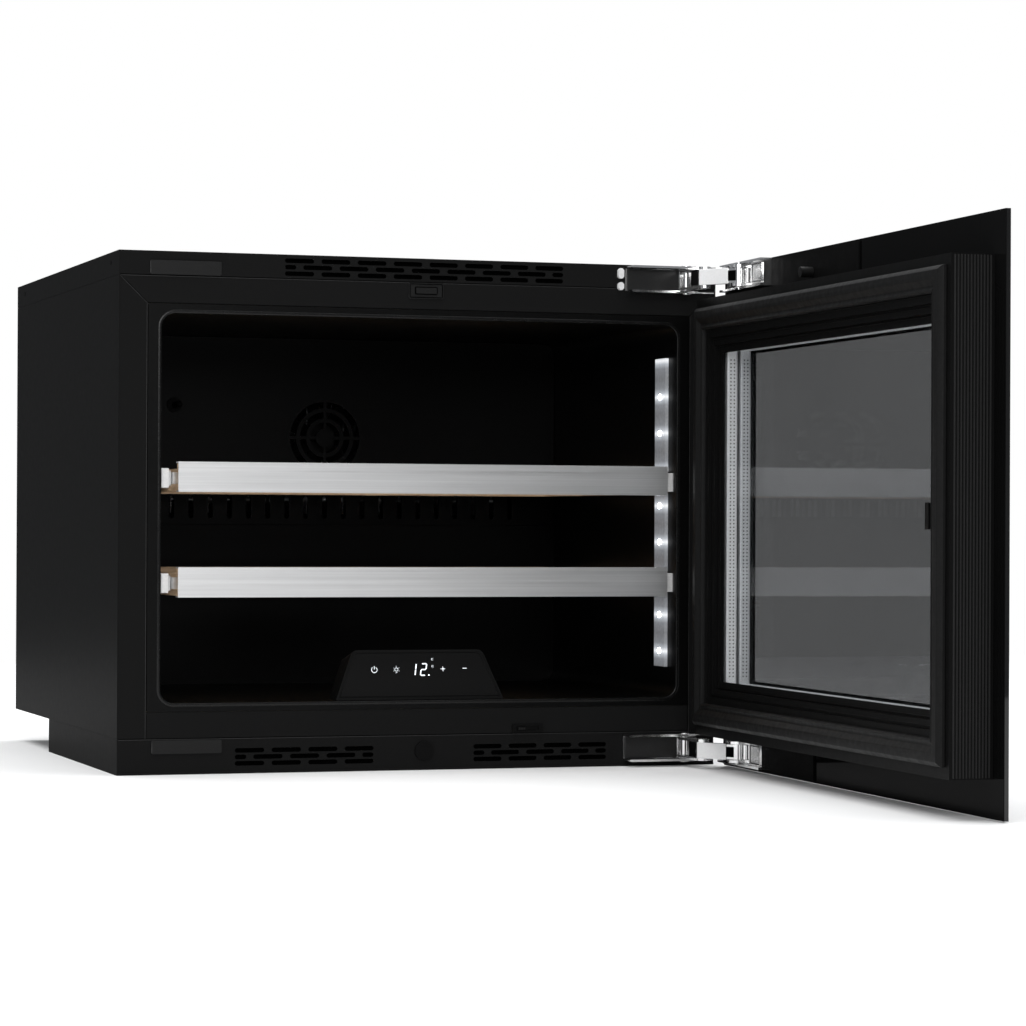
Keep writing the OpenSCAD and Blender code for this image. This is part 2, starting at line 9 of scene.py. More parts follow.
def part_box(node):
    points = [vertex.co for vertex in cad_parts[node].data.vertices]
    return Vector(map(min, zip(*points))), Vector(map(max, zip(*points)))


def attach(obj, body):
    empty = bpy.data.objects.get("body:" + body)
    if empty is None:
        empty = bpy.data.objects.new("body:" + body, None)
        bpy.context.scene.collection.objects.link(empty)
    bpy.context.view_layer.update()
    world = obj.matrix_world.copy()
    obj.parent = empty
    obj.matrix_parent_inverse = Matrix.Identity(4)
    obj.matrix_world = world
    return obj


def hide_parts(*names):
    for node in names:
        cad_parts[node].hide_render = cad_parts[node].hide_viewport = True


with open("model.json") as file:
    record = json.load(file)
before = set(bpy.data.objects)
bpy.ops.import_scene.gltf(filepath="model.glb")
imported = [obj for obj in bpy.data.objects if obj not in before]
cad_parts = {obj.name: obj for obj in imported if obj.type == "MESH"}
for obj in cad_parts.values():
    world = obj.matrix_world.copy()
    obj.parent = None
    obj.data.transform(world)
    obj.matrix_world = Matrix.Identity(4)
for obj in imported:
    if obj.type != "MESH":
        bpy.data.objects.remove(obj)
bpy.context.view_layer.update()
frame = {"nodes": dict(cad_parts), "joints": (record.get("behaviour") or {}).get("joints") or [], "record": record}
nodes = frame["nodes"]
MM = 0.001
DIODE_START, DIODE_PITCH = 14.0, 33.0  # first diode above the foot of a light bar, and their spacing


# ---------------------------------------------------------------- camera, light and floor

def add_camera():
    """A long lens from the left of the front, level with the middle of the cabinet."""
    position = Vector((-0.8587, -2.8399, 0.2158))
    yaw, pitch, roll = math.radians(18.322), math.radians(0.206), math.radians(0.259)
    data = bpy.data.cameras.new("camera")
    data.sensor_width = 36
    data.lens = 118.22
    data.clip_end = 50
    turn = (Matrix.Rotation(-yaw, 4, "Z") @ Matrix.Rotation(math.pi / 2 + pitch, 4, "X")
            @ Matrix.Rotation(roll, 4, "Z"))
    camera = bpy.data.objects.new("camera", data)
    camera.matrix_world = Matrix.Translation(position) @ turn
    bpy.context.scene.collection.objects.link(camera)
    bpy.context.scene.camera = camera


def area_light(name, place, target, size, power, color=(1, 1, 1)):
    """A soft rectangular light at place that faces target."""
    data = bpy.data.lights.new(name, "AREA")
    data.shape = "RECTANGLE"
    data.size, data.size_y = size
    data.energy = power
    data.color = color
    light = bpy.data.objects.new(name, data)
    way = Vector(target) - Vector(place)
    light.matrix_world = Matrix.Translation(place) @ way.to_track_quat("-Z", "Y").to_matrix().to_4x4()
    bpy.context.scene.collection.objects.link(light)


def add_studio():
    """Pale floor and soft lights, with white surroundings that light the black cabinet only a little."""
    world = bpy.data.worlds.new("studio")
    world.use_nodes = True
    tree = world.node_tree
    seen = tree.nodes["Background"]
    seen.inputs["Color"].default_value = (1, 1, 1, 1)
    seen.inputs["Strength"].default_value = 1.0
    felt = tree.nodes.new("ShaderNodeBackground")
    felt.inputs["Color"].default_value = (0.93, 0.96, 1.0, 1)
    felt.inputs["Strength"].default_value = 0.26
    path = tree.nodes.new("ShaderNodeLightPath")
    mix = tree.nodes.new("ShaderNodeMixShader")
    tree.links.new(path.outputs["Is Camera Ray"], mix.inputs[0])
    tree.links.new(felt.outputs[0], mix.inputs[1])
    tree.links.new(seen.outputs[0], mix.inputs[2])
    tree.links.new(mix.outputs[0], tree.nodes["World Output"].inputs["Surface"])
    bpy.context.scene.world = world
    area_light("front_light", (-0.9, -3.4, 1.3), (-0.1, 0, 0.2), (2.6, 1.4), 60)
    area_light("side_light", (-2.6, -0.6, 1.5), (-0.2, 0.2, 0.2), (1.2, 1.6), 8)
    area_light("floor_light", (0.3, 0.6, 3.2), (0.3, 0.6, 0), (4.6, 4.6), 235)
    floor = mesh_object("floor", *grid_plane(4.6))
    give(floor, floor_material())
    bpy.context.scene.view_settings.view_transform = "Standard"


# ---------------------------------------------------------------- mesh helpers

def mesh_object(name, verts, faces, smooth=False):
    """A linked mesh object from points in metres."""
    mesh = bpy.data.meshes.new(name)
    mesh.from_pydata([tuple(v) for v in verts], [], faces)
    mesh.validate()
    solid = bmesh.new()
    solid.from_mesh(mesh)
    bmesh.ops.recalc_face_normals(solid, faces=solid.faces)
    solid.to_mesh(mesh)
    solid.free()
    obj = bpy.data.objects.new(name, mesh)
    bpy.context.scene.collection.objects.link(obj)
    if smooth:
        for polygon in mesh.polygons:
            polygon.use_smooth = True
    return obj


def grid_plane(size):
    """Points and face of a square floor at z = 0."""
    s = size / 2
    return [(-s, -s, 0), (s, -s, 0), (s, s, 0), (-s, s, 0)], [(0, 1, 2, 3)]


def in_world(x, y, z):
    """Millimetres in the object's frame to metres."""
    return Vector((x, y, z)) * MM


class Shape:
    """Collects simple solids, in millimetres of the frame that place maps to the world."""

    def __init__(self, place=in_world):
        self.place, self.verts, self.faces = place, [], []

    def add(self, points, faces):
        start = len(self.verts)
        self.verts += [self.place(*p) for p in points]
        self.faces += [tuple(start + i for i in f) for f in faces]

    def block(self, low, high):
        """Block from corner to corner."""
        (x0, y0, z0), (x1, y1, z1) = low, high
        self.prism([(x0, y0), (x1, y0), (x1, y1), (x0, y1)], z0, z1)

    def prism(self, outline, start, end, axis=2):
        """A flat outline drawn in the other two axes, in order, extruded along one axis."""
        count = len(outline)

        def point(a, b, c):
            p = [a, b]
            p.insert(axis, c)
            return p
        points = [point(a, b, c) for c in (start, end) for a, b in outline]
        sides = [(i, (i + 1) % count, count + (i + 1) % count, count + i) for i in range(count)]
        self.add(points, [tuple(range(count)), tuple(range(count, 2 * count)), *sides])

    def disc(self, center, radius, start, end, axis=2, count=32, turn=0.0):
        """A round or many-sided plate on an axis through center."""
        angles = [turn + 2 * math.pi * i / count for i in range(count)]
        self.prism([(center[0] + radius * math.cos(t), center[1] + radius * math.sin(t)) for t in angles],
                   start, end, axis)

    def ring(self, low, high, radius, profile, axis=1, arc=6):
        """Sweeps a closed profile round a rectangle with rounded corners. The profile's points are
        (how far inside the rectangle, place along the axis)."""
        corners = [(high[0], high[1], 0), (low[0], high[1], 1), (low[0], low[1], 2), (high[0], low[1], 3)]
        stations = []
        for x, y, quarter in corners:
            cx = x - radius if x == high[0] else x + radius
            cy = y - radius if y == high[1] else y + radius
            steps = arc if radius > 0 else 0
            for i in range(steps + 1):
                turn = math.pi / 2 * (quarter + (i / steps if steps else 0.5))
                stations.append((cx, cy, turn))
        points = []
        for cx, cy, turn in stations:
            for inset, along in profile:
                reach = radius - inset if radius > 0 else -inset * math.sqrt(2)
                p = [cx + reach * math.cos(turn), cy + reach * math.sin(turn)]
                p.insert(axis, along)
                points.append(p)
        n, m = len(profile), len(stations)
        self.add(points, [(i * n + j, i * n + (j + 1) % n, (i + 1) % m * n + (j + 1) % n, (i + 1) % m * n + j)
                          for i in range(m) for j in range(n)])

    def done(self, name, material, body, slot, round_edges=0.0, smooth=False):
        """Makes the piece: it rides on a body and takes the given material; the slot is not used."""
        obj = mesh_object(name, self.verts, self.faces, smooth)
        give(obj, material)
        if round_edges:
            bevel(obj, round_edges * MM)
        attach(obj, body)
        return obj


def bevel(obj, width, segments=2, angle=35):
    """Rounds the sharp edges of a piece or of a CAD node, without changing its mesh."""
    mod = obj.modifiers.new("bevel", "BEVEL")
    mod.width = width
    mod.segments = segments
    mod.limit_method = "ANGLE"
    mod.angle_limit = math.radians(angle)
    mod.harden_normals = True
    for polygon in obj.data.polygons:
        polygon.use_smooth = True
    return mod


# ---------------------------------------------------------------- materials

def give(obj, material):
    """Sets a piece's only material."""
    obj.data.materials.clear()
    obj.data.materials.append(material)


def shader(name, **values):
    """A node material: returns it, its node tree and its shader, with the given sockets set."""
    material = bpy.data.materials.new(name)
    material.use_nodes = True
    tree = material.node_tree
    bsdf = tree.nodes["Principled BSDF"]
    for socket, value in values.items():
        bsdf.inputs[socket.replace("_", " ")].default_value = value
    return material, tree, bsdf


def coords(tree, scale=(1, 1, 1)):
    """Object coordinates in metres, stretched."""
    source = tree.nodes.new("ShaderNodeTexCoord")
    mapping = tree.nodes.new("ShaderNodeMapping")
    mapping.inputs["Scale"].default_value = scale
    tree.links.new(source.outputs["Object"], mapping.inputs["Vector"])
    return mapping.outputs["Vector"]


def noise(tree, vector, scale, detail=4, roughness=0.55):
    node = tree.nodes.new("ShaderNodeTexNoise")
    node.inputs["Scale"].default_value = scale
    node.inputs["Detail"].default_value = detail
    node.inputs["Roughness"].default_value = roughness
    tree.links.new(vector, node.inputs["Vector"])
    return node.outputs["Fac"]


def ramp(tree, factor, stops):
    """A colour ramp of (position, colour) stops; a colour may be one grey value."""
    node = tree.nodes.new("ShaderNodeValToRGB")
    elements = node.color_ramp.elements
    while len(elements) < len(stops):
        elements.new(0.5)
    for element, (position, color) in zip(elements, stops):
        element.position = position
        grey = isinstance(color, (int, float))
        element.color = (color, color, color, 1) if grey else (*color, 1)
    tree.links.new(factor, node.inputs["Fac"])
    return node.outputs["Color"]


def bump(tree, bsdf, height, strength, distance):
    node = tree.nodes.new("ShaderNodeBump")
    node.inputs["Strength"].default_value = strength
    node.inputs["Distance"].default_value = distance
    tree.links.new(height, node.inputs["Height"])
    tree.links.new(node.outputs["Normal"], bsdf.inputs["Normal"])


def floor_material():
    material, tree, bsdf = shader("pale_floor", Roughness=0.7, Specular_IOR_Level=0.2)
    tree.links.new(ramp(tree, noise(tree, coords(tree), 3.0), [(0.3, 0.86), (0.7, 0.88)]),
                   bsdf.inputs["Base Color"])
    return material


def speckled(name, dark, light, rough, grain, height, metallic=0.0, **values):
    """Paint or moulded plastic: a fine grain in colour, roughness and relief."""
    material, tree, bsdf = shader(name, Metallic=metallic, **values)
    vector = coords(tree)
    tree.links.new(ramp(tree, noise(tree, vector, grain), [(0.3, dark), (0.7, light)]),
                   bsdf.inputs["Base Color"])
    tree.links.new(ramp(tree, noise(tree, vector, 160.0, 3), [(0.3, rough[0]), (0.7, rough[1])]),
                   bsdf.inputs["Roughness"])
    bump(tree, bsdf, noise(tree, vector, grain * 2, 2), 0.35, height)
    return material


def brushed(name, dark, light, rough, stretch, height=0.00002, metallic=1.0):
    """Metal brushed along one axis; stretch is the scale of the scratches along each axis."""
    material, tree, bsdf = shader(name, Metallic=metallic)
    fine = noise(tree, coords(tree, stretch), 1.0, 6, 0.7)
    tree.links.new(ramp(tree, fine, [(0.25, dark), (0.75, light)]), bsdf.inputs["Base Color"])
    tree.links.new(ramp(tree, fine, [(0.25, rough[0]), (0.75, rough[1])]), bsdf.inputs["Roughness"])
    bump(tree, bsdf, fine, 0.25, height)
    return material


def chrome_material():
    material, tree, bsdf = shader("chrome_plate", Metallic=1.0)
    vector = coords(tree)
    tree.links.new(ramp(tree, noise(tree, vector, 60), [(0.3, 0.78), (0.7, 0.88)]), bsdf.inputs["Base Color"])
    tree.links.new(ramp(tree, noise(tree, vector, 160), [(0.3, 0.08), (0.75, 0.2)]), bsdf.inputs["Roughness"])
    bump(tree, bsdf, noise(tree, vector, 220), 0.1, 0.00005)
    return material


def beech_material():
    material, tree, bsdf = shader("beech_wood", Specular_IOR_Level=0.35)
    vector = coords(tree, (1.0, 1.0, 9.0))
    grain = noise(tree, vector, 22, 5, 0.6)
    fleck = noise(tree, coords(tree, (30, 160, 160)), 3.0, 4, 0.6)
    color = ramp(tree, grain,
                 [(0.2, (0.50, 0.31, 0.17)), (0.5, (0.66, 0.45, 0.27)), (0.8, (0.74, 0.54, 0.35))])
    mix = tree.nodes.new("ShaderNodeMix")
    mix.data_type = "RGBA"
    mix.blend_type = "MULTIPLY"
    mix.inputs["Factor"].default_value = 0.5
    tree.links.new(color, mix.inputs["A"])
    tree.links.new(ramp(tree, fleck, [(0.35, 0.75), (0.6, 1.0)]), mix.inputs["B"])
    tree.links.new(mix.outputs["Result"], bsdf.inputs["Base Color"])
    tree.links.new(ramp(tree, fleck, [(0.3, 0.6), (0.7, 0.45)]), bsdf.inputs["Roughness"])
    bump(tree, bsdf, fleck, 0.2, 0.0002)
    return material


def black_glass_material():
    material, tree, bsdf = shader("black_glass", Specular_IOR_Level=0.35)
    vector = coords(tree)
    tree.links.new(ramp(tree, noise(tree, vector, 2.0), [(0.3, 0.002), (0.7, 0.004)]),
                   bsdf.inputs["Base Color"])
    tree.links.new(ramp(tree, noise(tree, vector, 7.0), [(0.3, 0.03), (0.7, 0.07)]), bsdf.inputs["Roughness"])
    return material


def within(tree, coordinate, low, high):
    """1 where a coordinate lies between two values, else 0."""
    center = tree.nodes.new("ShaderNodeMath")
    center.operation = "SUBTRACT"
    center.inputs[1].default_value = (low + high) / 2
    tree.links.new(coordinate, center.inputs[0])
    size = tree.nodes.new("ShaderNodeMath")
    size.operation = "ABSOLUTE"
    tree.links.new(center.outputs[0], size.inputs[0])
    inside = tree.nodes.new("ShaderNodeMath")
    inside.operation = "LESS_THAN"
    inside.inputs[1].default_value = (high - low) / 2
    tree.links.new(size.outputs[0], inside.inputs[0])
    return inside.outputs[0]


def door_glass_material(y_range, z_range, corner, into):
    """Black printed glass with a dark tinted window inside the print; only its outer face shines."""
    material, tree, bsdf = shader("door_glass")
    vector = coords(tree)
    tree.links.new(ramp(tree, noise(tree, vector, 2.0), [(0.3, 0.002), (0.7, 0.004)]),
                   bsdf.inputs["Base Color"])
    tree.links.new(ramp(tree, noise(tree, vector, 7.0), [(0.3, 0.02), (0.7, 0.05)]), bsdf.inputs["Roughness"])
    split = tree.nodes.new("ShaderNodeSeparateXYZ")
    tree.links.new(vector, split.inputs[0])
    window = tree.nodes.new("ShaderNodeMath")
    window.operation = "MULTIPLY"
    tree.links.new(within(tree, split.outputs["Y"], *y_range), window.inputs[0])
    tree.links.new(within(tree, split.outputs["Z"], *z_range), window.inputs[1])
    depth = tree.nodes.new("ShaderNodeVectorMath")
    depth.operation = "DOT_PRODUCT"
    tree.links.new(vector, depth.inputs[0])
    depth.inputs[1].default_value = tuple(into)
    skin = corner.dot(into) - 0.6 * MM
    outer = ramp(tree, within(tree, depth.outputs["Value"], skin - 1.0, skin), [(0.0, 0.008), (1.0, 0.5)])
    tree.links.new(outer, bsdf.inputs["Specular IOR Level"])
    tint = ramp(tree, window.outputs[0], [(0.0, 1.0), (1.0, 0.675)])
    tree.links.new(tint, bsdf.inputs["Alpha"])
    return material


def clear_glass_material():
    """Clear pane: what lies behind it, with the sheen of its two faces."""
    material = bpy.data.materials.new("clear_glass")
    material.use_nodes = True
    tree = material.node_tree
    tree.nodes.remove(tree.nodes["Principled BSDF"])
    through = tree.nodes.new("ShaderNodeBsdfTransparent")
    tree.links.new(ramp(tree, noise(tree, coords(tree), 5.0),
                        [(0.3, (0.945, 0.95, 0.955)), (0.7, (0.965, 0.97, 0.975))]), through.inputs["Color"])
    sheen = tree.nodes.new("ShaderNodeBsdfGlossy")
    tree.links.new(ramp(tree, noise(tree, coords(tree), 9.0), [(0.3, 0.01), (0.7, 0.03)]),
                   sheen.inputs["Roughness"])
    sheen.inputs["Color"].default_value = (0.34, 0.35, 0.36, 1)
    facing = tree.nodes.new("ShaderNodeLayerWeight")
    facing.inputs["Blend"].default_value = 0.5
    mix = tree.nodes.new("ShaderNodeMixShader")
    tree.links.new(ramp(tree, facing.outputs["Facing"], [(0.0, 0.02), (0.7, 0.05), (0.9, 0.2), (1.0, 0.6)]),
                   mix.inputs[0])
    tree.links.new(through.outputs[0], mix.inputs[1])
    tree.links.new(sheen.outputs[0], mix.inputs[2])
    tree.links.new(mix.outputs[0], tree.nodes["Material Output"].inputs["Surface"])
    return material


def glow(name, color, strength):
    """Light source with a slightly uneven face."""
    material, tree, bsdf = shader(name, Emission_Strength=strength)
    lit = ramp(tree, noise(tree, coords(tree), 400), [(0.3, tuple(0.9 * c for c in color)), (0.7, color)])
    tree.links.new(lit, bsdf.inputs["Emission Color"])
    tree.links.new(lit, bsdf.inputs["Base Color"])
    return material


def light_material(first, pitch):
    """Clear diffuser over a row of diodes, brightest round each diode."""
    material, tree, bsdf = shader("led_diffuser", Emission_Strength=0.9, Roughness=0.2)
    vector = coords(tree)
    split = tree.nodes.new("ShaderNodeSeparateXYZ")
    tree.links.new(vector, split.inputs[0])
    shift = tree.nodes.new("ShaderNodeMath")
    shift.operation = "SUBTRACT"
    shift.inputs[1].default_value = first - pitch / 2
    tree.links.new(split.outputs["Z"], shift.inputs[0])
    place = tree.nodes.new("ShaderNodeMath")
    place.operation = "PINGPONG"
    place.inputs[1].default_value = pitch / 2
    tree.links.new(shift.outputs[0], place.inputs[0])
    near = tree.nodes.new("ShaderNodeMath")
    near.operation = "DIVIDE"
    near.inputs[1].default_value = pitch / 2
    tree.links.new(place.outputs[0], near.inputs[0])
    lit = ramp(tree, near.outputs[0], [(0.0, (0.10, 0.105, 0.115)), (0.55, (0.16, 0.17, 0.19)),
                                       (0.8, (0.40, 0.43, 0.47)), (1.0, (0.95, 0.97, 1.0))])
    tree.links.new(lit, bsdf.inputs["Emission Color"])
    tree.links.new(ramp(tree, noise(tree, vector, 300.0), [(0.3, 0.16), (0.7, 0.24)]),
                   bsdf.inputs["Base Color"])
    return material


black_steel = speckled("black_steel", 0.0080, 0.0096, (0.30, 0.34), 900, 0.00001, Specular_IOR_Level=0.0015)
black_plastic = speckled("black_plastic", 0.003, 0.0045, (0.38, 0.44), 700, 0.00002, Specular_IOR_Level=0.04)
liner_plastic = speckled("liner_plastic", 0.0015, 0.0025, (0.28, 0.34), 500, 0.00002, Specular_IOR_Level=0.08)
rubber = speckled("rubber", 0.004, 0.006, (0.45, 0.6), 400, 0.00003, Specular_IOR_Level=0.10)
foam = speckled("foam", (0.62, 0.55, 0.34), (0.78, 0.70, 0.46), (0.8, 0.95), 300, 0.0004)
zinc = speckled("zinc_steel", 0.42, 0.6, (0.28, 0.42), 120, 0.00003, 1.0)
copper = speckled("copper", (0.5, 0.22, 0.11), (0.72, 0.36, 0.2), (0.2, 0.4), 60, 0.00003, 1.0)
front_steel = brushed("brushed_steel", 0.56, 0.70, (0.30, 0.42), (4, 900, 900))
aluminium = speckled("aluminium", 0.6, 0.8, (0.25, 0.4), 200, 0.00002, 1.0)
chrome = chrome_material()
beech = beech_material()
black_glass = black_glass_material()
clear_glass = clear_glass_material()
led = light_material(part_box("light_bars")[0].z + DIODE_START * MM, DIODE_PITCH * MM)
diode_glow = glow("diode", (0.86, 0.93, 1.0), 22.0)
digit_glow = glow("display", (0.9, 0.95, 1.0), 1.25)

SLOT_MATERIALS = {
    "black_steel": black_steel, "black_plastic": black_plastic, "liner_plastic": liner_plastic,
    "black_glass": black_glass, "clear_glass": clear_glass, "brushed_steel": front_steel,
    "zinc_steel": zinc, "chrome": chrome, "aluminium": aluminium, "beech": beech, "foam": foam,
    "rubber": rubber, "copper": copper, "light_diffuser": led,
}


def paint_nodes():
    """Gives every CAD node the material of its slot."""
    for part in frame["record"]["subparts"]:
        give(nodes[part["node"]], SLOT_MATERIALS[part["material_slot"]])


# ---------------------------------------------------------------- places

def box_mm(node):
    """(lowest corner, highest corner) of a CAD node in millimetres."""
    low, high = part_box(node)
    return low / MM, high / MM


def joint(name):
    return next(j for j in frame["joints"] if j["name"] == name)


def door_axes():
    """Hinge-side corner of the glass's inner face, and the unit vectors along and into the door."""
    points = [v.co / MM for v in nodes["door_glass"].data.vertices]
    inner = min(points, key=lambda p: p.x)
    outer = max(points, key=lambda p: p.x)
    thickness_way = min((p for p in points if abs(p.y - outer.y) < 20), key=lambda p: p.x) - outer
    into = Vector((thickness_way.x, thickness_way.y, 0)).normalized()
    along = Vector((into.y, -into.x, 0))
    if along.y > 0:
        along = -along
    width = abs((inner - outer).dot(along))
    corner = Vector((inner.x, inner.y, 0)) - along * width
    return corner, along, into, width


door_corner, door_along, door_into, door_w = door_axes()
door_z0, door_z1 = (c.z for c in box_mm("door_glass"))


def on_door(u, v, z):
    """u runs along the glass from its hinge-side edge, v from the glass's inner face inwards."""
    p = door_corner + door_along * u + door_into * v
    return Vector((p.x, p.y, z)) * MM


front_low, front_high = box_mm("front_frame")
top_low, top_high = box_mm("top_vent_strip")
HINGE_HALF_H = 12.0
hinge_z = [box_mm("hinge_housings")[0].z + HINGE_HALF_H, box_mm("hinge_housings")[1].z - HINGE_HALF_H]

# Door ring, in door coordinates
FRAME_U, FRAME_Z = (21.0, 579.3), (30.5, 417.0)
OPENING_U, OPENING_Z = (68.0, 535.0), (79.0, 368.0)
GASKET_U, GASKET_Z, GASKET_V = (27.0, 572.0), (39.2, 409.0), (35.1, 42.0)
CAVITY_HW, CAVITY_Z, CAVITY_R = 236.6, (61.4, 396.6), 12.0
SHELF_Z, RAIL_GAP = (152.5, 243.0), 24.0  # feet of the shelves, and the break in the light bars at each
PANEL_Y = (11.0, 21.0)  # sloping face of the control panel, at its foot and its head


# ---------------------------------------------------------------- door

def add_door_details():
    """Ribs on the frame's free side, bead lines on its steps, soft gasket and perforated spacers."""
    ribs = Shape(on_door)
    for i in range(12):
        v = 3.2 + 2.6 * i
        ribs.prism([(FRAME_U[1], v - 0.75), (FRAME_U[1] + 0.9, v - 0.25), (FRAME_U[1] + 0.9, v + 0.25),
                    (FRAME_U[1], v + 0.75)], FRAME_Z[0] + 1, FRAME_Z[1] - 1)
    ribs.done("door_frame_ribs", rib_plastic, "door", "black_plastic")

    beads = Shape(on_door)
    for inset, v, size in ((26.0, 35.0, 0.7), (28.6, 35.0, 0.7), (37.2, 32.1, 0.6), (43.4, 28.6, 0.6)):
        profile = [(inset - size, v - 0.2), (inset - size * 0.6, v + size * 0.7),
                   (inset + size * 0.6, v + size * 0.7), (inset + size, v - 0.2)]
        beads.ring((FRAME_U[0], FRAME_Z[0]), (FRAME_U[1], FRAME_Z[1]), 0, profile)
    beads.done("door_frame_beads", black_plastic, "door", "black_plastic", smooth=True)

    gasket = Shape(on_door)
    low, high = GASKET_V
    profile = [(0, low), (0, low + 2.6), (1.2, low + 4.4), (3.4, high - 0.6), (6.6, high), (10.2, high - 0.4),
               (13.0, low + 4.6), (14.6, low + 3.2), (16.4, low + 3.4), (18.2, low + 4.4), (19.4, low + 3.6),
               (20, low + 1.4), (20, low)]
    gasket.ring((GASKET_U[0], GASKET_Z[0]), (GASKET_U[1], GASKET_Z[1]), 0, profile)
    piece = gasket.done("soft_gasket", rubber, "door", "rubber")
    bevel(piece, 0.4 * MM, 2, 20)
    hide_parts("door_gasket")

    spacers = Shape(on_door)
    holes = Shape(on_door)
    pane = 13.0
    for v0, v1 in ((0.1, 9.5), (12.6, 22.0)):
        profile = [(0, v0), (0, v1), (10.4, v1), (11, v1 - 1.2), (11, v0 + 1.2), (10.4, v0)]
        spacers.ring((OPENING_U[0] - pane, OPENING_Z[0] - pane), (OPENING_U[1] + pane, OPENING_Z[1] + pane),
                     0, profile)
        middle = (v0 + v1) / 2
        inner_u, inner_z = (OPENING_U[0] - 2, OPENING_U[1] + 2), (OPENING_Z[0] - 2, OPENING_Z[1] + 2)
        for v in (middle - 1.6, middle + 1.6):
            z = inner_z[0] + 6
            while z < inner_z[1] - 6:
                for u in inner_u:
                    holes.prism([(u - 0.06, v - 0.55), (u + 0.06, v - 0.55),
                                 (u + 0.06, v + 0.55), (u - 0.06, v + 0.55)], z, z + 1.1)
                z += 3.2
    piece = spacers.done("spacer_frames", spacer_metal, "door", "aluminium")
    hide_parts("glass_spacers")
    holes.done("spacer_holes", black_plastic, "door", "black_plastic")

    # Polished edge along the free side of the glass: its green tint is the glass's own, its lightness a painted
    # highlight
    edge = Shape(on_door)
    edge.block((door_w - 0.5, -3.4, door_z0 + 1), (door_w - 0.02, -0.6, door_z1 - 1))
    edge.done("glass_edge", glass_edge, "door", "black_glass")


# ---------------------------------------------------------------- hinges

def add_hinge_details():
    """Covers, pads and long lips of the housings, pin heads, link plates, and relief on the brackets."""
    pivot_a = Vector(joint("hinge_cabinet_pivot")["pos_m"]) / MM
    elbow = Vector(joint("hinge_elbow_pivot")["pos_m"]) / MM
    pivot_b = Vector(joint("door_swing")["pos_m"]) / MM
    low, high = box_mm("hinge_housings")
    covers, pads, heads, elbow_heads, door_heads = Shape(), Shape(), Shape(), Shape(), Shape()
    plates, pockets, lips = Shape(), Shape(), Shape()
    flange_end = box_mm("side_panel_right")[1].x - 9
    for z in hinge_z:
        covers.block((low.x + 0.4, -6.4, z - 9.6), (high.x - 13, -3.02, z + 9.6))
        for sign in (-1, 1):
            a, b = sorted((z + sign * 12.0, z + sign * 12.9))
            heads.disc((pivot_a.x, pivot_a.y), 4.2, a, b, count=28)
            a, b = sorted((z + sign * 9.3, z + sign * 9.6))
            elbow_heads.disc((elbow.x, elbow.y), 4.2, a, b, count=28)
            door_heads.disc((pivot_b.x, pivot_b.y), 4.2, a, b, count=28)
        # Bright cover plate on the second link, and a near-black strip that paints the shade in its pocket
        way = (pivot_b - elbow)
        way.z = 0
        length = way.length
        way.normalize()
        side = Vector((way.y, -way.x, 0))
        if side.x > 0:
            side = -side

        def corner(t, s):
            p = elbow + way * t + side * s
            return (p.x, p.y)
        plates.prism([corner(-1, 5.6), corner(length - 7, 5.6), corner(length - 7, 6.5), corner(-1, 6.5)],
                     z - 7.0, z + 7.0)
        pockets.prism([corner(length - 7, 5.6), corner(length + 1, 5.6), corner(length + 1, 6.2),
                       corner(length - 7, 6.2)], z - 4.5, z + 4.5)
        # Long lips of the housing, running on to the cabinet's edge
        for sign in (-1, 1):
            a, b = sorted((z + sign * 11.2, z + sign * 12.0))
            lips.block((low.x + 2, low.y + 0.2, a), (flange_end, low.y + 2.4, b))
    for dz, half_h in ((5.4, 4.6), (-6.0, 3.5)):
        x, z, c, w = low.x - 4.2, hinge_z[1] + dz, 1.7, 2.7
        pads.prism([(x - w, z - half_h + c), (x - w + c, z - half_h), (x + w - c, z - half_h),
                    (x + w, z - half_h + c), (x + w, z + half_h - c), (x + w - c, z + half_h),
                    (x - w + c, z + half_h), (x - w, z + half_h - c)], -4.2, -0.1, axis=1)
    covers.done("hinge_covers", satin_black, "cabinet", "black_plastic", 0.5)
    pads.done("hinge_pads", white_plastic, "cabinet", "light_diffuser", 0.15)
    heads.done("cabinet_pin_heads", chrome, "cabinet", "chrome", 0.3)
    elbow_heads.done("elbow_pin_heads", chrome, "hinge_inner", "chrome", 0.3)
    door_heads.done("door_pin_heads", chrome, "door", "chrome", 0.3)
    plates.done("link_plates", white_steel, "hinge_outer", "brushed_steel", 0.3)
    pockets.done("link_pocket_shade", painted_shade_black, "hinge_outer", "black_plastic")
    lips.done("housing_lips", chrome, "cabinet", "chrome", 0.2)

    # Die-cast relief on the brackets: a framed field of fine ribs
    relief, dark = Shape(on_door), Shape(on_door)
    for z in hinge_z:
        for u0, u1 in ((18.0, 50.0), (92.0, 118.0)):
            top = 4.62 if u1 < 60 else 9.02
            dark.block((u0 + 1, top - 0.05, z - 8.6), (u1 - 1, top + 0.25, z + 8.6))
            for i in range(int((u1 - u0 - 6) / 2.2)):
                u = u0 + 4 + 2.2 * i
                relief.block((u, top + 0.2, z - 7.2), (u + 1.0, top + 0.9, z + 7.2))
            relief.ring((u0, z - 9.2), (u1, z + 9.2), 1.6,
                        [(0, top), (0, top + 1.1), (1.0, top + 1.1), (1.0, top)])
        relief.disc((72.0, 6.4), 1.6, z - 6.4, z + 6.4, count=20)
    relief.done("bracket_relief", chrome, "door", "chrome", 0.2)
    dark.done("bracket_fields", satin_black, "door", "black_plastic")


# ---------------------------------------------------------------- controls

SEGMENTS = {"1": "bc", "2": "abged"}


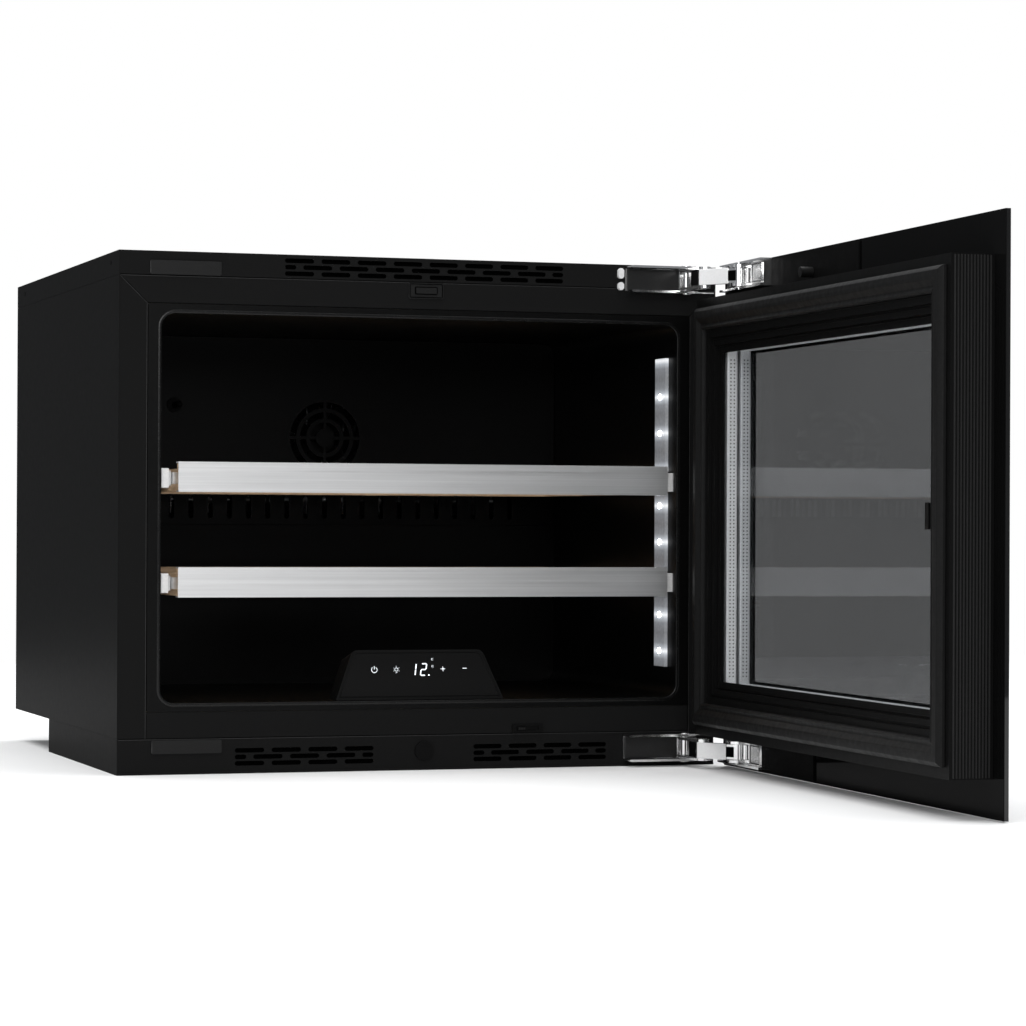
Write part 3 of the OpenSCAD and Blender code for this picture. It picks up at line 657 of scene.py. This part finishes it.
def add_display():
    """Digits, unit marks and key symbols on the sloping touch glass."""
    low, high = box_mm("control_panel")
    foot, head = Vector((0, PANEL_Y[0], low.z)), Vector((0, PANEL_Y[1], high.z))
    slope = (head - foot).normalized()
    out = Vector((0, -slope.z, slope.y))

    def on_glass(x, s, n):
        return (Vector((x, 0, 0)) + foot + slope * s + out * n) * MM
    lit = Shape(on_glass)
    h0, h1 = 0.02, 0.10

    def stroke(x0, s0, x1, s1, w):
        way = Vector((x1 - x0, s1 - s0)).normalized()
        side = Vector((-way.y, way.x)) * w / 2
        a, b = Vector((x0, s0)), Vector((x1, s1))
        lit.prism([tuple(a + side), tuple(b + side), tuple(b - side), tuple(a - side)], h0, h1)

    def digit(name, x, s, w, h):
        lean = 0.17

        def p(fx, fs):
            return x + w * fx + lean * h * fs, s + h * fs
        ends = {"a": (0, 1, 1, 1), "b": (1, 1, 1, 0.5), "c": (1, 0.5, 1, 0), "d": (0, 0, 1, 0),
                "e": (0, 0.5, 0, 0), "f": (0, 1, 0, 0.5), "g": (0, 0.5, 1, 0.5)}
        for name_of in SEGMENTS[name]:
            x0, f0, x1, f1 = ends[name_of]
            a, b = Vector(p(x0, f0)), Vector(p(x1, f1))
            way = (b - a).normalized() * 0.35
            stroke(*(a + way), *(b - way), 0.95)
    digit("1", -8.2, 21.6, 4.6, 10.4)
    digit("2", 1.4, 21.6, 4.6, 10.4)
    lit.prism([(8.6, 21.2), (9.8, 21.2), (9.8, 22.4), (8.6, 22.4)], h0, h1)
    for s in (29.0, 35.2):
        stroke(12.3, s, 14.0, s, 0.2)
        stroke(12.3, s + 1.4, 14.0, s + 1.4, 0.2)
        stroke(12.3, s, 12.3, s + 1.4, 0.2)
    stroke(20.4, 27.2, 24.6, 27.2, 0.4)
    stroke(22.5, 25.1, 22.5, 29.3, 0.4)
    stroke(40.8, 27.6, 44.6, 27.6, 0.45)

    def arc(cx, cs, r, start, end, w, steps=14):
        turns = [math.radians(start + (end - start) * i / steps) for i in range(steps + 1)]
        points = [(cx + r * math.cos(t), cs + r * math.sin(t)) for t in turns]
        for (xa, sa), (xb, sb) in zip(points, points[1:]):
            stroke(xa, sa, xb, sb, w)
    arc(-40.7, 26.9, 2.6, 125, 415, 0.35)
    stroke(-40.7, 27.2, -40.7, 30.2, 0.35)
    arc(-20.5, 27.0, 1.5, 0, 360, 0.28)
    for i in range(5):
        t = math.radians(-30 + 60 * i)
        stroke(-20.5 + 2.2 * math.cos(t), 27 + 2.2 * math.sin(t),
               -20.5 + 3.0 * math.cos(t), 27 + 3.0 * math.sin(t), 0.22)
    stroke(-21.3, 24.2, -19.7, 24.2, 0.25)
    lit.done("display_symbols", digit_glow, "cabinet", "light_diffuser")

    rim = Shape(on_glass)
    length = (head - foot).length - 2.6
    outline = [(-74.0, 2.6), (74.0, 2.6), (59.6, length), (-59.6, length)]
    for (xa, sa), (xb, sb) in zip(outline, outline[1:] + outline[:1]):
        way = Vector((xb - xa, sb - sa)).normalized()
        side = Vector((-way.y, way.x)) * 0.22
        a, b = Vector((xa, sa)), Vector((xb, sb))
        rim.prism([tuple(a + side), tuple(b + side), tuple(b - side), tuple(a - side)], -0.05, 0.3)
    rim.done("display_rim", black_plastic, "cabinet", "black_plastic")


# ---------------------------------------------------------------- cabinet front and inside

def add_front_details():
    """Lip round the cooled space, meshes behind the vents and rims on the sensor plate in painted shade, ridges
    and edge strips with painted highlights, and seams of the bands with painted highlights on their arrises.
    """
    lip = Shape()
    profile = [(-3.4, -0.3), (-3.0, -0.6), (-1.8, -0.8), (-0.6, -0.7), (0.0, -0.3)]
    lip.ring((-CAVITY_HW, CAVITY_Z[0]), (CAVITY_HW, CAVITY_Z[1]), CAVITY_R, profile, arc=10)
    lip.done("liner_lip", gloss_black, "cabinet", "liner_plastic", smooth=True)

    # Meshes behind the vents, coloured near-black as painted shade in the slots
    mesh = Shape()
    for (x0, x1), (z0, z1) in (((-133, 133), (top_low.z + 1.2, top_high.z - 2)),
                               ((-174, -42), (5.5, 23.5)), ((42, 174), (5.5, 23.5))):
        mesh.block((x0, 8.0, z0), (x1, 8.4, z1))
        height = z1 - z0
        x = x0 + height
        while x < x1:
            mesh.prism([(x - height, z0), (x - height + 0.9, z0), (x + 0.9, z1), (x, z1)], 7.0, 8.0, axis=1)
            x += 4.4
    mesh.done("vent_mesh", painted_shade_black, "cabinet", "black_plastic")

    # Near-black rims on the sensor plate and round the recess above it: painted shade in the recesses
    plate_low, plate_high = box_mm("sensor_plate")
    rim = Shape()
    rim.ring((plate_low.x + 0.8, plate_low.z + 0.8), (plate_high.x - 0.8, plate_high.z - 0.8), 1.2,
             [(0, -0.9), (0, -1.35), (0.7, -1.35), (0.7, -0.9)])
    rim.ring((-10.4, 418.2), (10.4, 425.2), 1.4, [(0, -0.9), (0.2, -2.35), (0.8, -2.35), (1.0, -2.1)])
    rim.done("sensor_rim_shade", painted_shade_black, "cabinet", "black_plastic")

    slider_low, slider_high = box_mm("mode_switch")
    # Ridges on the slider in a lighter grey: a painted highlight on their crests
    ridges = Shape()
    for i in range(4):
        x = slider_low.x + 1.4 + 1.6 * i
        ridges.block((x, slider_low.y - 0.25, slider_low.z + 0.4),
                     (x + 0.7, slider_low.y + 0.1, slider_high.z - 0.4))
    ridges.done("switch_ridges", ridge_highlight_grey, "mode_slider", "black_plastic")

    # Painted highlight: lighter strips down the left edges of the blank covers
    edges = Shape()
    for x, z0, z1 in ((-247.1, cap_line + 2.0, cap_line + 11.8), (-244.1, 19.2, 28.4)):
        edges.block((x, -1.3, z0), (x + 0.7, -0.5, z1))
    edges.done("blank_cover_edge_highlights", painted_edge_highlight, "cabinet", "black_plastic", 0.15)

    # Shadow lines where the front bands meet, each beside a fine strip of painted highlight on the arris
    flange_x, flange_z1 = 248.5, 405.0
    outer_x, low_z, high_z = front_high.x, front_low.z, front_high.z
    seams, arrises = Shape(), Shape()
    for side in (-1, 1):
        for shape, shift, width in ((seams, 0.0, 0.7), (arrises, 0.75, 0.35)):
            shape.prism([(side * outer_x, high_z - shift), (side * flange_x, flange_z1 - shift),
                         (side * flange_x, flange_z1 - shift - width),
                         (side * outer_x, high_z - shift - width)], -0.12, 0.0, axis=1)
            x = side * (flange_x + shift)
            a, b = sorted((x, x + side * width))
            shape.block((a, -0.12, low_z), (b, 0.0, flange_z1 - 1.2))
    for shape, shift, width in ((seams, 0.0, 0.6), (arrises, -0.65, 0.3)):
        shape.block((-outer_x, -0.12, high_z + shift), (outer_x, 0.0, high_z + shift + width))
        shape.block((-outer_x, -0.12, low_z + shift - 0.3), (outer_x, 0.0, low_z + shift - 0.3 + width))
        shape.block((-flange_x, -0.12, flange_z1 + shift), (flange_x, 0.0, flange_z1 + shift + width))
    seams.done("band_seams", painted_shade_black, "cabinet", "black_steel")
    arrises.done("band_arris_highlights", painted_edge_highlight, "cabinet", "black_steel")


def add_inside_details():
    """Diodes in the light bars and end blocks on the shelf rails."""
    low, high = box_mm("light_bars")
    diodes, blocks = Shape(), Shape()
    heights = [low.z + DIODE_START + DIODE_PITCH * i for i in range(10)
               if low.z + DIODE_START + DIODE_PITCH * i < high.z - 6]
    for side in (-1, 1):
        for z in heights:
            if any(foot < z < foot + RAIL_GAP for foot in SHELF_Z):
                continue
            a, b = sorted((side * (-low.x - 3.9), side * (-low.x - 3.1)))
            diodes.disc((33.0, z), 2.6, a, b, axis=0, count=20)
    diodes.done("diodes", diode_glow, "cabinet", "light_diffuser", smooth=True)
    for side in (-1, 1):
        for z in SHELF_Z:
            a, b = sorted((side * 228.6, side * 235.4))
            blocks.block((a, 4.4, z + 3.6), (b, 12.0, z + 20.4))
    blocks.done("rail_end_blocks", white_plastic, "cabinet", "light_diffuser", 0.6)


ROUND_EDGES = {
    "door_glass": 0.5, "door_frame": 0.7, "hinge_housings": 0.4, "inner_links": 0.4, "outer_links": 0.5,
    "hinge_brackets": 0.5, "upper_shelf_front": 0.6, "lower_shelf_front": 0.6, "upper_shelf_frame": 1.0,
    "lower_shelf_frame": 1.0, "top_cover": 0.6, "side_panel_left": 0.3, "side_panel_right": 0.3,
    "top_vent_strip": 0.25, "bottom_vent_strip": 0.25, "front_frame": 0.3, "base_tray": 0.4,
    "hinge_blank_covers": 0.3, "sensor_plate": 0.3, "base_cap": 0.5, "control_panel": 0.7,
    "door_margin_plates": 0.3, "catch_block": 0.5, "door_bumper": 0.6, "rear_panel": 0.3,
    "switch_bezel": 0.15, "shelf_rails": 0.2,
}


def round_nodes():
    for name, width in ROUND_EDGES.items():
        bevel(nodes[name], width * MM)


cap_line = top_low.z
satin_black = speckled("satin_black", 0.006, 0.010, (0.3, 0.4), 600, 0.00002, Specular_IOR_Level=0.35)
# Painted highlight: a lighter grey for the slider's ridges
ridge_highlight_grey = speckled("ridge_highlight_grey", 0.014, 0.018, (0.35, 0.45), 600, 0.00002, Specular_IOR_Level=0.08)
gloss_black = speckled("gloss_black", 0.004, 0.006, (0.16, 0.24), 300, 0.00001, Specular_IOR_Level=0.2)
white_plastic = speckled("white_plastic", 0.62, 0.72, (0.3, 0.42), 500, 0.00002)
spacer_metal = speckled("spacer_metal", 0.80, 0.95, (0.4, 0.55), 900, 0.00008, 0.1)
white_steel = speckled("white_steel", 0.85, 0.93, (0.35, 0.45), 900, 0.00002, 0.3)
rib_plastic = speckled("rib_plastic", 0.012, 0.016, (0.4, 0.5), 700, 0.00002, Specular_IOR_Level=0.12)
margin_paint = speckled("margin_paint", 0.004, 0.0055, (0.5, 0.6), 900, 0.00001, Specular_IOR_Level=0.012)
# Painted highlight: a lighter grey for edges and arrises that catch the light
painted_edge_highlight = speckled("painted_edge_highlight", 0.024, 0.04, (0.25, 0.35), 500, 0.00001, Specular_IOR_Level=0.2)
# Painted shade: near-black for seams, pockets, recess rims and the space behind the vents
painted_shade_black = speckled("painted_shade_black", 0.0004, 0.001, (0.6, 0.8), 500, 0.00002, Specular_IOR_Level=0.02)
cover_plastic = speckled("cover_plastic", 0.0075, 0.010, (0.3, 0.38), 700, 0.00001, Specular_IOR_Level=0.12)
touch_panel = speckled("touch_panel", 0.0060, 0.0072, (0.4, 0.5), 900, 0.00001, Specular_IOR_Level=0.05)
# Glass edge: green tint of the glass itself, lightened as a painted highlight
glass_edge = speckled("glass_edge", (0.10, 0.12, 0.12), (0.16, 0.19, 0.18), (0.15, 0.25), 300, 0.00001)

add_camera()
add_studio()
paint_nodes()
window_low, window_high = on_door(OPENING_U[1], 0, OPENING_Z[0]), on_door(OPENING_U[0], 0, OPENING_Z[1])
give(nodes["door_glass"], door_glass_material((window_low.y, window_high.y), (window_low.z, window_high.z),
                                              door_corner * MM, door_into))
for name in ("hinge_blank_covers", "sensor_plate"):
    give(nodes[name], cover_plastic)
for name in ("touch_glass", "control_panel"):
    give(nodes[name], touch_panel)
give(nodes["door_margin_plates"], margin_paint)
round_nodes()
add_door_details()
add_hinge_details()
add_display()
add_front_details()
add_inside_details()
